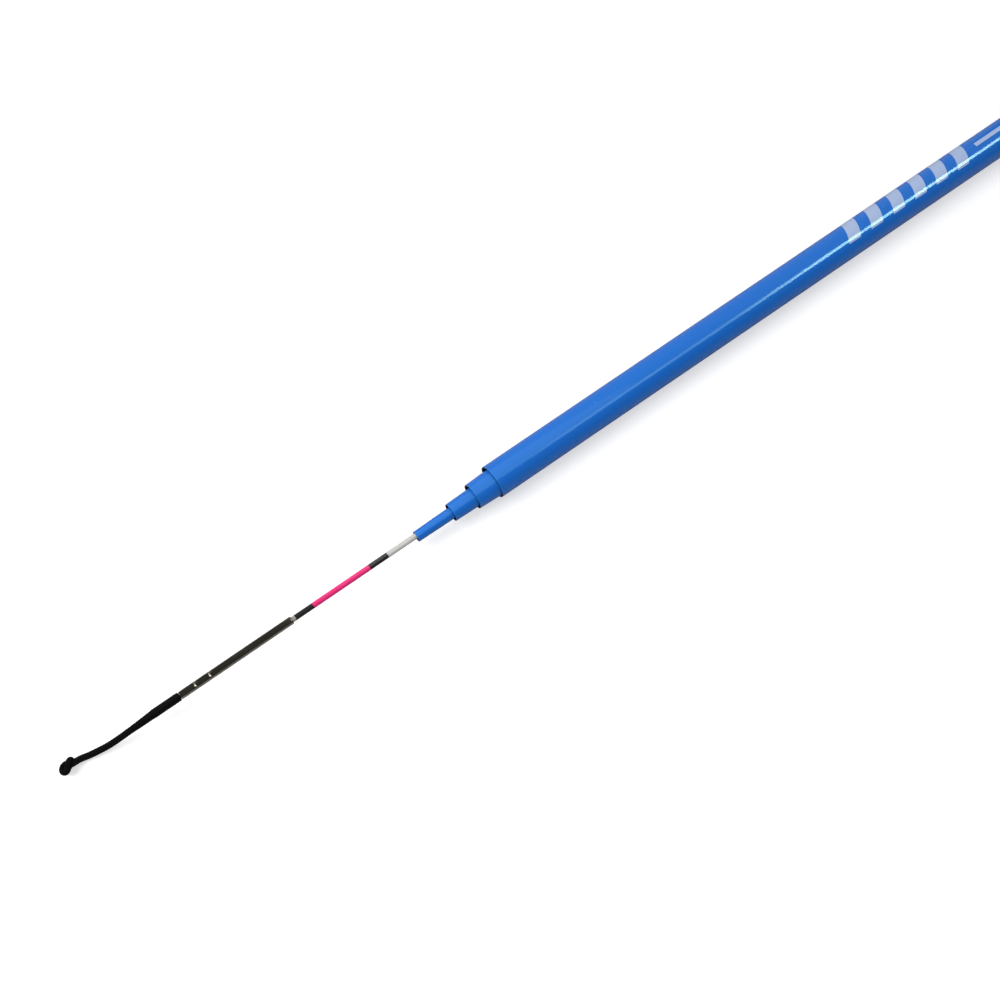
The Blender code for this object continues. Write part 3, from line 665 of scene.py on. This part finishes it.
def pulled_knot():
    """The middle line of an overhand knot that is pulled tight, along +X.

    It starts as the loose knot x = t^3-3t, y = t^4-4t^2+1.5, z = t^5/5-2t, with its two ends drawn out along
    the rod. Every round makes the whole line a little smaller, evens out the lengths of its steps and its
    bends, and pushes two stretches apart where they lie closer than the yarn is thick.
    """
    t = np.linspace(-LOOSE_HALF, LOOSE_HALF, 120)
    core = np.stack([t**3 - 3 * t, t**4 - 4 * t**2 + 1.5, t**5 / 5 - 2 * t], axis=1)
    drawn = np.linspace(0, 1, 40)[1:, None]
    tails = []
    for end, inner, outwards in ((core[0], core[1], -1.0), (core[-1], core[-2], 1.0)):
        heading = unit(end - inner)
        turning = heading * (1 - LOOSE_TURN * drawn) + np.array([outwards, 0, 0]) * LOOSE_TURN * drawn
        tails.append(end + LOOSE_ENDS * drawn * turning)
    line = evenly(np.vstack([tails[0][::-1], core, tails[1]]), KNOT_POINTS)
    step = np.linalg.norm(line[1] - line[0])
    first, second = np.triu_indices(KNOT_POINTS, 1)
    for _ in range(KNOT_ROUNDS):
        line, step = line * KNOT_SHRINK, step * KNOT_SHRINK
        far = second - first > np.ceil(KNOT_BESIDE * KNOT_YARN / step)
        one, other = first[far], second[far]
        for _ in range(KNOT_PASSES):
            reach = np.diff(line, axis=0)
            length = np.linalg.norm(reach, axis=1, keepdims=True)
            slack = KNOT_EASE * (length - step) * reach / length
            line[:-1] += slack
            line[1:] -= slack
            line[1:-1] += KNOT_EASE * ((line[:-2] + line[2:]) / 2 - line[1:-1])
            between = line[other] - line[one]
            gap = np.linalg.norm(between, axis=1)
            close = gap < KNOT_YARN
            push = 0.5 * (KNOT_YARN - gap[close, None]) * between[close] / gap[close, None]
            moved, pushes = np.zeros_like(line), np.zeros(KNOT_POINTS)
            for ends, way in ((one[close], -push), (other[close], push)):
                np.add.at(moved, ends, way)
                np.add.at(pushes, ends, 1)
            line = line + moved / np.maximum(pushes, 1)[:, None]
    return line


def swung(points, angle, one, other):
    """The points turned by an angle from one axis towards another."""
    made, c, s = points.copy(), np.cos(angle), np.sin(angle)
    made[:, one] = c * points[:, one] - s * points[:, other]
    made[:, other] = s * points[:, one] + c * points[:, other]
    return made


def braid_line():
    """The braid's middle line, straight through the root, along its route and through the knot to its end; its
    length; and how far along it the knot begins."""
    leaves = np.array([BRAID_START, *HOLDER_MIDDLE])
    root = [(x, *HOLDER_MIDDLE) for x in np.linspace(ROOT_REAR, BRAID_START - LAST_STRAIGHT, 6)]
    route = leaves + np.array(BRAID_ROUTE)
    knot = pulled_knot()
    coming = route[-1] - route[-2]
    back = np.flatnonzero(np.abs(np.diff(np.sign(np.diff(knot[:, 0])))) > 0)
    start, end = back[0], back[-1]
    knot = knot - knot[start : end + 1].mean(axis=0)
    knot = swung(swung(knot, KNOT_ROLL, 1, 2), KNOT_PITCH, 2, 0)
    knot = swung(knot, np.arctan2(coming[1], coming[0]) + KNOT_TURN, 0, 1) + leaves + KNOT_MIDDLE
    lead = along_line(knot)
    begin = np.flatnonzero(lead > lead[start] - LEAD_LENGTH)[0]
    finish = np.flatnonzero(lead > lead[end] + TAIL_LENGTH)[0]
    line = smooth_line(np.vstack([root, route, knot[begin : finish + 1 : 3]]))
    length = along_line(line)[-1]
    line = evenly(line, int(length / BRAID_STEP) + 1)
    knotted = along_line(knot[begin : finish + 1])[-1]
    return line, length, length - knotted


def carried_round(line):
    """Two directions across the line at each of its points, each turned from the last by as little as the line
    itself turns, so that a ring carried along it doesn't twist."""
    heading = unit(np.gradient(line, axis=0))
    side = np.empty_like(line)
    side[0] = (0.0, 1.0, 0.0)
    for k in range(1, len(line)):
        side[k] = unit(side[k - 1] - heading[k] * (side[k - 1] @ heading[k]))
    return side, np.cross(heading, side)


def plait(along, angle):
    """Height of the yarns on the braid, from 0 in a gap to 1 on a crown.

    One set of yarns lies where p = n a + s/pitch is whole, the other where m = n a - s/pitch is, with a in
    turns. Each yarn is sqrt|cos(pi p)| across, and goes up and down with cos(pi (m + round p)), so that the two
    sets pass over and under each other in turn. The higher of the two shows.
    """
    around = YARNS * angle / TURN
    p, m = around + along / YARN_PITCH, around - along / YARN_PITCH
    share, weave = YARN_CROWN / PLAIT_DEPTH, YARN_WEAVE / PLAIT_DEPTH
    one = share * np.sqrt(np.abs(np.cos(np.pi * p))) + weave * np.cos(np.pi * (m + np.round(p)))
    other = share * np.sqrt(np.abs(np.cos(np.pi * m))) - weave * np.cos(np.pi * (p + np.round(m)))
    return np.maximum(one, other) + weave


def lilian():
    """The whole braid in one piece, from its glued root over the stem to the knot and the short tail.

    It is a ring carried along the middle line, wider over the root and narrower in the knot. Over the last
    stretch u before an end it goes in as sqrt(1 - (1-u)^2), and the plait is cut in by its depth (1 - height).
    """
    line, length, knot_from = braid_line()
    along = along_line(line)
    root_length = ROOT_FRONT - ROOT_REAR
    swell = np.clip((root_length + ROOT_TAPER - along) / ROOT_TAPER, 0, 1)
    swell = np.where(along < root_length, 1, ROOT_STEP * swell)
    squeezed = np.clip((along - knot_from + SQUEEZE_AHEAD) / SQUEEZE_LENGTH, 0, 1)
    squeezed = squeezed**2 * (3 - 2 * squeezed)
    radius = BRAID_RADIUS + (ROOT_RADIUS - BRAID_RADIUS) * swell + (KNOT_RADIUS - BRAID_RADIUS) * squeezed

    def rounded(share):
        return np.sqrt(np.maximum(0, 1 - (1 - np.clip(share, 0, 1)) ** 2))

    ends = rounded(along / END_ROUNDING) * (1 - REAR_FACE) + REAR_FACE
    ends = ends * rounded((length - along) / (2 * END_ROUNDING))
    angle = round_the_rod(BRAID_COLUMNS)[None, :]
    height = plait(along[:, None], angle)
    full = (radius * ends)[:, None]
    cut = full - (1 - height) * PLAIT_DEPTH * np.minimum(1, full / BRAID_RADIUS)
    side, other = carried_round(line)
    ring = side[:, None] * np.cos(angle)[..., None] + other[:, None] * np.sin(angle)[..., None]
    grid = line[:, None] + np.maximum(cut, 0.0)[..., None] * ring
    first, last = (np.repeat(line[k][None, None], BRAID_COLUMNS, axis=1) for k in (0, -1))
    grid = np.concatenate([first, grid[:-1], last])
    glue = np.clip(GLUE_AMOUNT - along / (root_length + GLUE_REACH), 0, 1)[:, None] + 0 * angle
    marks = {"crown": np.vstack([height[:1], height]), "glue": np.vstack([glue[:1], glue])}
    made = shell("lilian_braid", grid, [YARN], marks)
    dressed(made, "line_holder", "black_braid", "lilian_root", "lilian_cord", "lilian_knot")


lilian()

# The tip and what it carries.

CRIMP_HALF_WIDTH = 0.42
CRIMP_DEPTH = 0.10
CRIMP_PUNCHES = 6
CRIMP_TURN = np.radians(8.0)
CRIMPS = (361.60, 364.35)
CRIMP_GROOVE = 0.28  # share of the depth all the way round
AROUND_CRIMPS = (CRIMPS[0] - 0.6, CRIMPS[1] + 0.6)


def crimp(place, radius, angle):
    """How far the crimping tool pushed the sleeve in, from 0 to 1: a shallow groove at each of two places, a
    raised cosine along the rod, with six deeper dimples round it, a raised cosine to the power of 1.5."""
    dent = 0 * place
    punch = ((1 + np.cos(CRIMP_PUNCHES * (angle - CRIMP_TURN))) / 2) ** 1.5
    for middle in CRIMPS:
        across = np.clip(np.abs(place - middle) / CRIMP_HALF_WIDTH, 0, 1)
        dent = dent + (1 + np.cos(np.pi * across)) / 2 * (CRIMP_GROOVE + (1 - CRIMP_GROOVE) * punch)
    return dent


def crimped(place, radius, angle):
    """Relief of the crimps."""
    return -CRIMP_DEPTH * crimp(place, radius, angle)


def steel_sleeve():
    """The polished tube on the tip, with eased rims and two crimped rings near its front."""
    rear, front = SLEEVE[0, 0], SLEEVE[-1, 0]
    bore, skin = SLEEVE[0, 3], SLEEVE[1, 4]
    corners = [
        (rear, skin - 0.075, 0.02),
        (rear + 0.16, skin, 0.05),
        (front - 0.80, skin, 0.20),
        (front - 0.08, skin - 0.045, 0.05),
        (front, skin - 0.10, 0.02),
        (front, bore, 0.02),
        (rear, bore, 0.02),
    ]
    fine = [(*AROUND_CRIMPS, 0.05)]
    marks = {"crimped": crimp}
    made = lathed("steel_sleeve", corners, HOLDER_MIDDLE, 96, [STEEL], fine, relief=crimped, marks=marks)
    dressed(made, "tip", "polished_steel", "top_sleeve")


def brass_bush():
    """The bush that the crimps hold, pushed in where they are, with the stem's running bore through it."""
    rings = rings_of("spindle_bush")
    rear, front, bore, skin = rings[0, 0], rings[-1, 0], rings[0, 3], rings[0, 4]
    corners = [(rear, skin, 0.04), (front, skin, 0.04), (front, bore, 0.03), (rear, bore, 0.03)]
    fine = [(*AROUND_CRIMPS, 0.08)]

    def pushed(place, radius, angle):
        return np.where(radius > (bore + skin) / 2, crimped(place, radius, angle), 0.0)

    made = lathed("brass_bush", corners, HOLDER_MIDDLE, 64, [BRASS], fine, relief=pushed)
    dressed(made, "tip", "brass", "spindle_bush")


def steel_stem():
    """The headed stem that the braid is glued on."""
    rear, neck, front = SPINDLE[0, 0], SPINDLE[2, 0], SPINDLE[-1, 0]
    head, shaft = SPINDLE[1, 4], SPINDLE[3, 4]
    corners = [
        (rear, 0.0, 0.0),
        (rear, head, 0.07),
        (neck, head, 0.04),
        (neck, shaft, 0.03),
        (front, shaft, 0.07),
        (front, 0.0, 0.0),
    ]
    made = lathed("steel_stem", corners, HOLDER_MIDDLE, 48, [STEEL])
    dressed(made, "line_holder", "polished_steel", "top_spindle")


PAINT_STEP = 0.010
PAINT_SLOPE = 0.03  # half the length of each step in the paint


def painted_tip():
    """The solid tip: an even taper, with each band of paint a hundredth proud of its neighbour."""
    rings = rings_of("tip_section")
    rear, nose, front = rings[:, 0]
    butt_radius, nose_radius, front_radius = rings[:, 4]

    def thick(place):
        return np.interp(place, [rear, nose], [butt_radius, nose_radius])

    corners = [(rear, 0.0, 0.0), (rear, thick(rear), 0.12)]
    for place, drop in ((WHITE_ENDS, 0.0), (PINK_STARTS, 0.0), (PINK_ENDS, 0.0), (BLACK_ENDS, PAINT_STEP)):
        corners.append((place - PAINT_SLOPE, thick(place), 0.01))
        corners.append((place + PAINT_SLOPE, thick(place) - drop - PAINT_STEP / 2, 0.01))
    corners.append((nose, nose_radius - PAINT_STEP, 0.10))
    corners.append((front, front_radius - PAINT_STEP, 0.08))
    corners.append((front, 0.0, 0.0))
    made = lathed("painted_tip", corners, rings[0, 1:3], 72, [TIP_PAINT])
    dressed(made, "tip", "tip_paint", "tip_section")


steel_sleeve()
brass_bush()
steel_stem()
painted_tip()

# The tubes.

BARE_LIP = 0.015
LACQUER_THICKNESS = 0.022
BARE_REAR = 4.0
RIM_HIGHLIGHT_REACH = 0.22  # how far back from its edge the painted highlight on the lacquer reaches


def lacquered(name, outside, inside, middle, columns, lacquer):
    """A tube of bare carbon, lacquered on the outside from near its rear to just short of its mouth.

    outside and inside are its (place, radius) from rear to front. The lacquer leaves a bare ring at the rear, and
    ends in a rounded step. At a distance d from that step its mark of the painted highlight is (1 - d/reach)^2."""
    rear, mouth = outside[0][0], outside[-1][0]
    places, radii = np.array(outside).T

    def skin(place):
        return float(np.interp(place, places, radii))

    paint_from, paint_to = rear + BARE_REAR, mouth - BARE_LIP
    corners = [
        (rear, skin(rear) - LACQUER_THICKNESS, 0.06, 1),
        (paint_from, skin(paint_from) - LACQUER_THICKNESS, 0.01, 0),
        (paint_from + 0.02, skin(paint_from), 0.012, 0),
    ]
    corners += [(x, r, 0.8, 0) for x, r in outside[1:-1] if paint_from < x < paint_to]
    highlight_from, highlight_half = paint_to - RIM_HIGHLIGHT_REACH, paint_to - RIM_HIGHLIGHT_REACH / 2
    corners += [
        (highlight_from, skin(highlight_from), 0.02, 0),
        (highlight_half, skin(highlight_half), 0.02, 0),
        (paint_to - 0.006, skin(paint_to), 0.014, 0),
        (paint_to + 0.002, skin(paint_to) - LACQUER_THICKNESS, 0.004, 1),
        (mouth, skin(mouth) - LACQUER_THICKNESS, 0.005, 1),
    ]
    corners += [(x, r, 0.03, 1) for x, r in inside[::-1]]

    # Mark of the painted highlight: strongest at the lacquer's rim, gone at the reach.
    def edge(place, radius, angle):
        return np.clip(1 - np.abs(place - paint_to) / RIM_HIGHLIGHT_REACH, 0, 1) ** 2

    return lathed(name, corners, middle, columns, [lacquer, CARBON], marks={"painted_rim_highlight": edge})


def butt_tube():
    """The outermost tube, with the wider seat for the threaded ring at its rear."""
    rear, step, rim, mouth = rings_of("butt_section")
    outside = [(rear[0], rear[4]), (mouth[0], rim[4])]
    inside = [(rear[0], rear[3]), (step[0], step[4]), (step[0], step[3]), (mouth[0], mouth[3])]
    made = lacquered("butt_tube", outside, inside, rear[1:3], 144, PRINTED_LACQUER)
    dressed(made, "butt", "blue_paint", "butt_section")


def inner_tube(name, node, body, columns):
    """One of the three tubes inside the butt, with the long taper of its nose."""
    rear, shoulder, rim, mouth = rings_of(node)
    outside = [(rear[0], rear[4]), (shoulder[0], shoulder[4]), (mouth[0], rim[4])]
    inside = [(rear[0], rear[3]), (mouth[0], mouth[3])]
    made = lacquered(name, outside, inside, rear[1:3], columns, LACQUER)
    dressed(made, body, "blue_paint", node)


butt_tube()
inner_tube("second_tube", "section_2", "second", 120)
inner_tube("third_tube", "section_3", "third", 96)
inner_tube("fourth_tube", "section_4", "fourth", 80)

# The cap at the butt.

THREAD_PITCH = 1.25
THREAD_DEPTH = 0.2
KNURL_RIDGES = 24
KNURL_DEPTH = 0.12
KNURL_BAND = 0.2  # how far in from its rim the head is fluted
RING_THREAD = 0.75  # depth of the ring's thread as a share of the cap's
DISH_DEPTH = 0.12
CAP = rings_of("butt_cap")
RING = rings_of("butt_nut_ring")
SEAL = rings_of("cap_seal")
CUSHION = rings_of("cap_cushion")


def thread(place, angle, start, end):
    """Height of the thread on its root: depth (1 + cos(2 pi x/pitch - angle))/2, which fades in and out over
    one pitch at each end."""
    fade = np.clip(np.minimum(place - start, end - place) / THREAD_PITCH, 0, 1)
    return THREAD_DEPTH * fade * (1 + np.cos(TURN * place / THREAD_PITCH - angle)) / 2


def knurled_cap():
    """The cap: a neck for the seal, a threaded spigot, and a head whose flutes are cut in by depth times
    |sin(n a/2)|^1.5, with n of them round it, fading out over its chamfers."""
    face, chamfer, chamfer_back, back = CAP[:4, 0]
    rim, crest, neck = CAP[0, 4], CAP[1, 4], CAP[3, 3]
    shoulder, spigot, root = CAP[4, 0], CAP[-1, 0], CAP[-1, 4]
    corners = [
        (face, 0.0, 0.0),
        (face, rim, 0.06),
        (chamfer, crest, 0.08),
        (chamfer_back, crest, 0.08),
        (back, rim, 0.05),
        (back, neck, 0.04),
        (shoulder, neck, 0.04),
        (shoulder, root, 0.04),
        (spigot, root, 0.08),
        (spigot, 0.0, 0.0),
    ]
    fine = [(face, back - 0.001, 0.1), (shoulder + 0.01, spigot - 0.01, 0.06)]

    def on_head(place, radius):
        across = np.clip(np.minimum(place - face, back - place) / (chamfer - face), 0, 1)
        return np.where((place <= back) & (radius > rim - KNURL_BAND), across, 0.0)

    def relief(place, radius, angle):
        flute = np.abs(np.sin(KNURL_RIDGES * angle / 2)) ** 1.5
        dug = -KNURL_DEPTH * flute * on_head(place, radius)
        cut = thread(place, angle, shoulder, spigot) * (place > shoulder) * (radius > root - 0.02)
        return dug + np.where(place >= spigot - 0.001, 0.0, cut)

    def crest_mark(place, radius, angle):
        return on_head(place, radius) * (1 - np.abs(np.sin(KNURL_RIDGES * angle / 2)))

    marks = {"crest": crest_mark}
    made = lathed("knurled_cap", corners, CAP[0, 1:3], 240, [ANODISED], fine, relief=relief, marks=marks)
    dressed(made, "cap", "anodised_aluminium", "butt_cap")


def threaded_ring():
    """The ring glued into the butt, with the thread that the cap's spigot runs in, half a turn on from it."""
    rear, front, root, skin = RING[0, 0], RING[-1, 0], RING[0, 3], RING[0, 4]
    corners = [(rear, skin, 0.05), (front, skin, 0.05), (front, root, 0.04), (rear, root, 0.04)]
    fine = [(rear + 0.01, front - 0.01, 0.06)]

    def relief(place, radius, angle):
        standing = RING_THREAD * thread(place, angle - np.pi, rear, front)
        return np.where(radius < (root + skin) / 2, -standing, 0.0)

    made = lathed("threaded_ring", corners, RING[0, 1:3], 144, [BRASS], fine, relief=relief)
    dressed(made, "butt", "brass", "butt_nut_ring")


def seal_ring():
    """The rubber ring on the cap's neck: a circle of radius b carried round the rod at radius a, so that
    x = middle + b sin u and r = a + b cos u, a little flattened where it sits on the neck."""
    middle = (SEAL[0, 0] + SEAL[-1, 0]) / 2
    thickness = (SEAL[-1, 0] - SEAL[0, 0]) / 2
    ring = SEAL[0, 4]
    turn = np.linspace(0, TURN, 33)[:-1]
    points = np.stack([middle + thickness * np.sin(turn), ring + thickness * np.cos(turn)], axis=1)
    points[:, 1] = np.maximum(points[:, 1], ring - 0.985 * thickness)
    made = turned("seal_ring", points, np.zeros(len(points), int), SEAL[0, 1:3], 120, [RUBBER])
    dressed(made, "cap_axis", "rubber", "cap_seal")


def cushion_pad():
    """The rubber pad on the spigot: a disc with rounded rims, and a shallow moulded dish in its front."""
    rear, front, skin = CUSHION[0, 0], CUSHION[-1, 0], CUSHION[0, 4]
    corners = [
        (rear, 0.0, 0.0),
        (rear, skin, 0.12),
        (front, skin, 0.30),
        (front, 0.45 * skin, 0.15),
        (front - DISH_DEPTH, 0.38 * skin, 0.15),
        (front - DISH_DEPTH, 0.0, 0.0),
    ]
    made = lathed("cushion_pad", corners, CUSHION[0, 1:3], 96, [RUBBER])
    dressed(made, "cap", "rubber", "cap_cushion")


knurled_cap()
threaded_ring()
seal_ring()
cushion_pad()

# Floor and light.

BLACK, WHITE = (0.0,) * 3, (1.0,) * 3
FLOOR_HALF = 4000.0
FLOOR_GLOW = 0.55
FLOOR_LIGHT, FLOOR_DARK = (0.64,) * 3, (0.60,) * 3
FLOOR_CAST = (0.42,) * 3  # of the light that it sends back to the rod


def pale_floor():
    """A wide plain sheet that the rod lies on."""
    corners = FLOOR_HALF * np.array([(-1, -1), (1, -1), (1, 1), (-1, 1)])
    points = np.column_stack([corners, np.full(4, FLOOR_LEVEL)]) * MM
    mesh = bpy.data.meshes.new("pale_floor")
    mesh.from_pydata(points.tolist(), [], [(0, 1, 2, 3)])
    made, tree = new_material("pale_floor", Roughness=0.95, Emission_Strength=FLOOR_GLOW)
    shader = tree.nodes["Principled BSDF"]
    seen = put(tree, "ShaderNodeLightPath").outputs["Is Camera Ray"]
    tree.links.new(blended(tree, seen, BLACK, WHITE), shader.inputs["Emission Color"])
    grey = blended(tree, noise(tree, place_in_mm(tree), 0.02, 3.0), FLOOR_LIGHT, FLOOR_DARK)
    tree.links.new(blended(tree, seen, FLOOR_CAST, grey), shader.inputs["Base Color"])
    mesh.materials.append(made)
    placed("pale_floor", mesh)


def panel(name, place, aim, width, height, glow, lights=True, mirrored=True):
    """A soft light: a rectangle at a place, turned to shine at another, `glow` times as bright as a white sheet in
    full light. It lights dull surfaces, shows in glossy ones, or both."""
    light = bpy.data.lights.new(name, "AREA")
    light.shape = "RECTANGLE"
    light.size, light.size_y = width * MM, height * MM
    light.energy = glow * np.pi * light.size * light.size_y
    made = placed(name, light)
    made.location = Vector(place) * MM
    made.rotation_euler = (Vector(aim) - Vector(place)).to_track_quat("-Z", "Y").to_euler()
    made.visible_diffuse, made.visible_glossy = lights, mirrored


OVERHEAD = 600.0  # height of the screens over the rod


def overhead(name, start, end, near, far, glow):
    """A level screen over the rod, from start to end along it and near to far across it, seen in glossy things."""
    along, across = (start + end) / 2, (near + far) / 2
    panel(name, (along, across, OVERHEAD), (along, across, 0.0), end - start, far - near, glow, lights=False)


# Screens side by side over the rod, whose reflections give the lacquer its sheen. Each has its start and end
# along the rod, its far edge across it, and its glow.
SCREENS = (
    (-850.0, -200.0, 150.0, 0.55),
    (-200.0, 30.0, 150.0, 0.7),
    (30.0, 90.0, 150.0, 1.5),
    (90.0, 260.0, 330.0, 1.65),
)
SCREENS_NEAR = -1150.0
# The parts of a strip beyond them, whose reflection is the line of light: each part's start, end and glow.
LINE_PARTS = ((-420.0, -165.0, 18.0), (-165.0, -120.0, 8.5), (-120.0, 90.0, 3.0))
LINE_NEAR, LINE_FAR = 160.0, 370.0
MOUTHS = (290.0, 0.0, 0.0)
AIR_LIGHT, AIR_MIRRORED = (0.45,) * 3, (0.085, 0.083, 0.078)


def studio():
    """The key, over the mouths and to the front; the screens and the strip overhead; a dim screen at the rod's
    right; a light from the front; and the air, white to the eye and dimmer for what it lights."""
    panel("key_panel", (560.0, -90.0, 330.0), MOUTHS, 260.0, 260.0, 5.7, mirrored=False)
    for start, end, far, glow in SCREENS:
        overhead("screen", start, end, SCREENS_NEAR, far, glow)
    panel("side_screen", (-300.0, -1150.0, 300.0), (-300.0, 0.0, 300.0), 1100.0, 600.0, 0.5, lights=False)
    for start, end, glow in LINE_PARTS:
        overhead("line_part", start, end, LINE_NEAR, LINE_FAR, glow)
    panel("side_panel", (900.0, -560.0, 760.0), MOUTHS, 600.0, 500.0, 2.5)
    world = bpy.data.worlds.new("studio_air")
    world.use_nodes = True
    tree = world.node_tree
    air = tree.nodes["Background"]
    path = put(tree, "ShaderNodeLightPath").outputs
    dim = blended(tree, path["Is Diffuse Ray"], AIR_MIRRORED, AIR_LIGHT)
    tree.links.new(blended(tree, path["Is Camera Ray"], dim, WHITE), air.inputs["Color"])
    bpy.context.scene.world = world
    bpy.context.scene.view_settings.view_transform = "Standard"


pale_floor()
studio()
